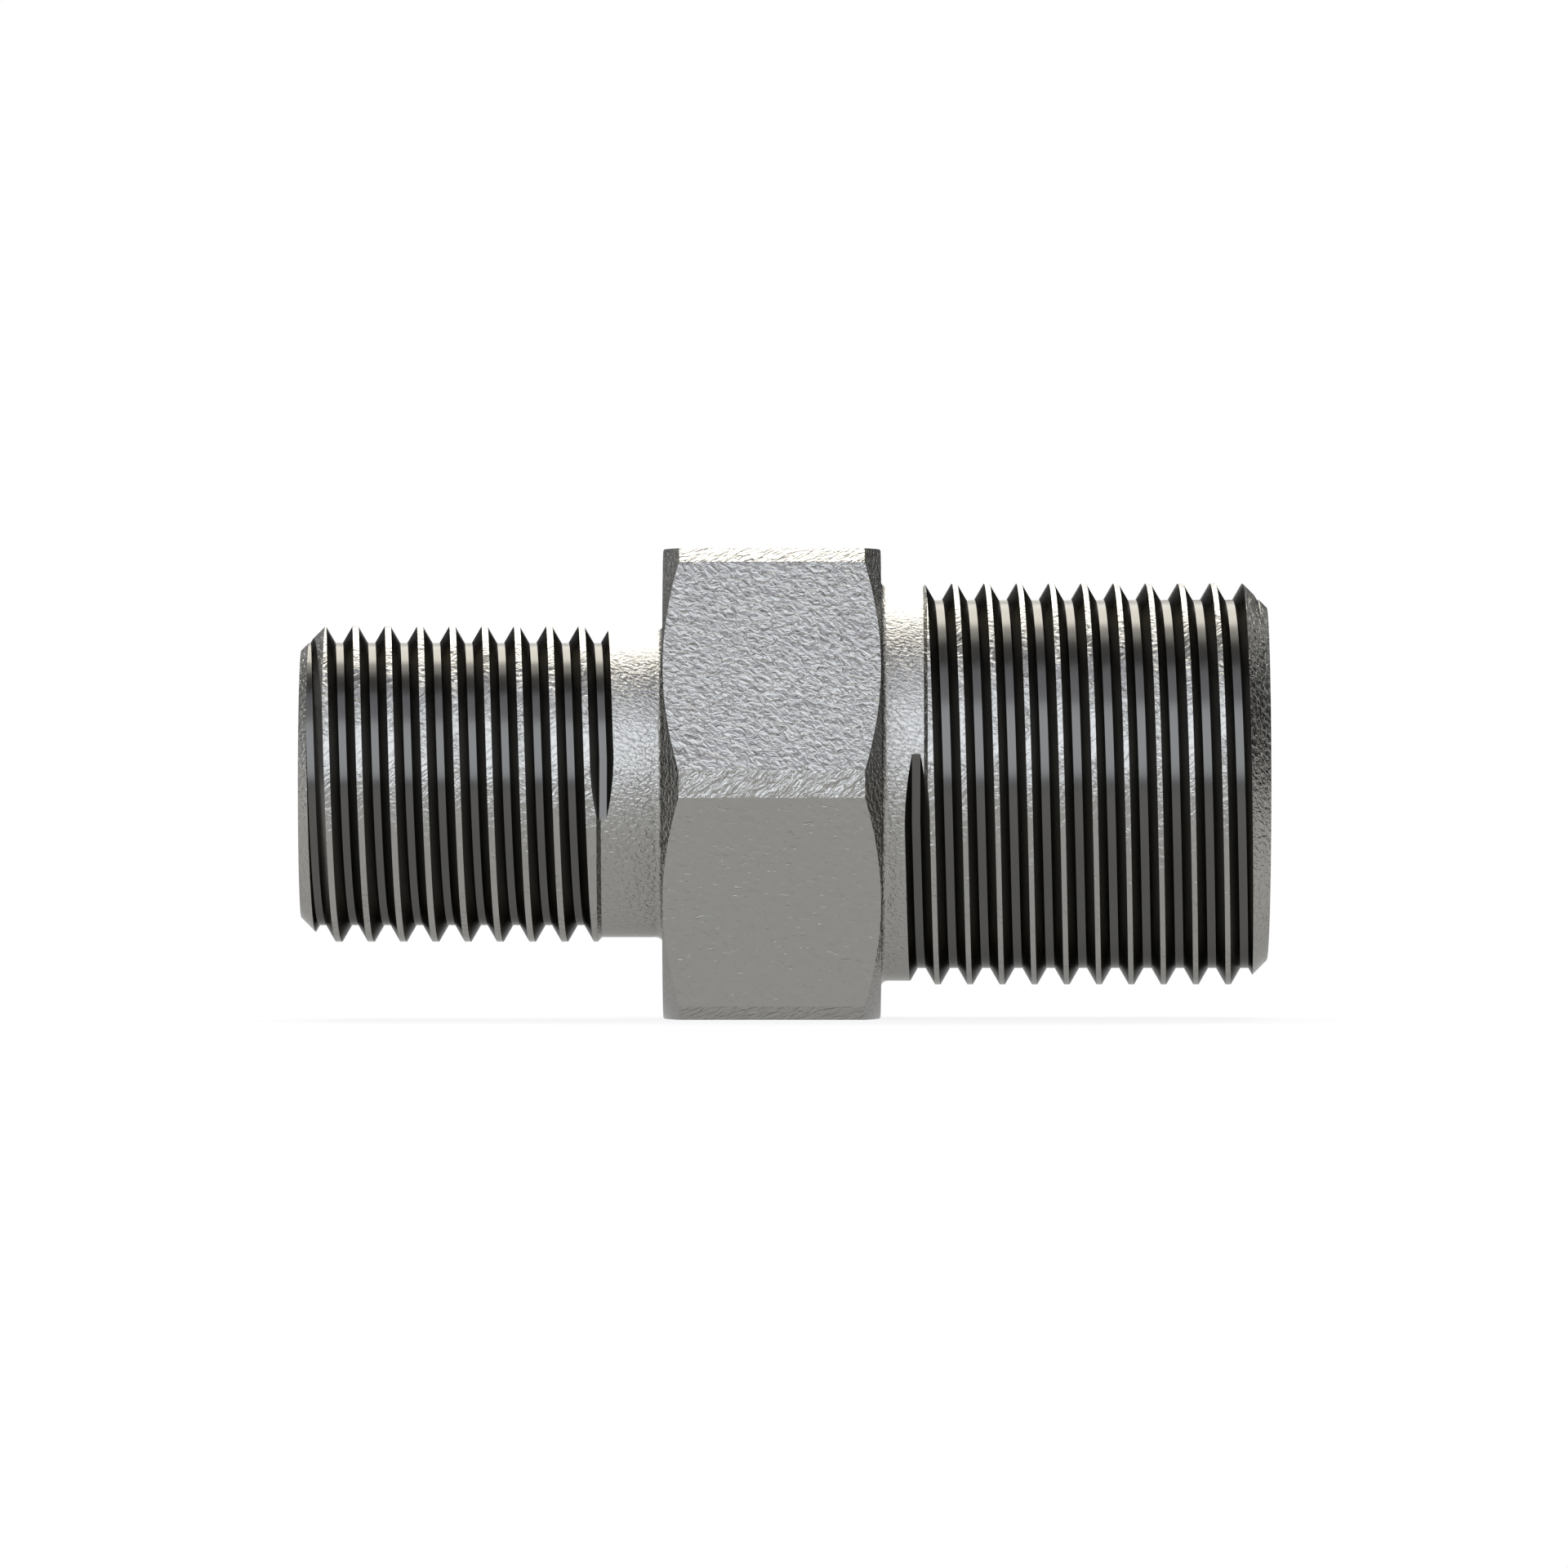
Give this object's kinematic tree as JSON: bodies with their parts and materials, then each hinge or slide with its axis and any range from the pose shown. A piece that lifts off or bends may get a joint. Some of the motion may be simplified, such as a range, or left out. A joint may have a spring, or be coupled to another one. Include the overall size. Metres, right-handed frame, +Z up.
{
  "type": "reducing pipe nipple",
  "caption": "One-piece reducing hexagon nipple of steel: two male parallel pipe threads of different size, a spanner hexagon between plain necks, and a stepped bore with seat cones.",
  "frame": {"origin": "on the axis, halfway between the two end faces", "axes": "X is the axis and points to the end with the large thread. Z is up, out of the flat of the hexagon that faces up as the nipple lies on the opposite flat. Y completes the right-handed frame, along a corner of the hexagon."},
  "size_m": [0.04, 0.0218, 0.0194],
  "materials": {
    "steel": "satin plated steel with a fine hammered texture, dark in the thread grooves"
  },
  "bodies": {
    "root": {"nipple": "steel"}
  },
  "joints": []
}
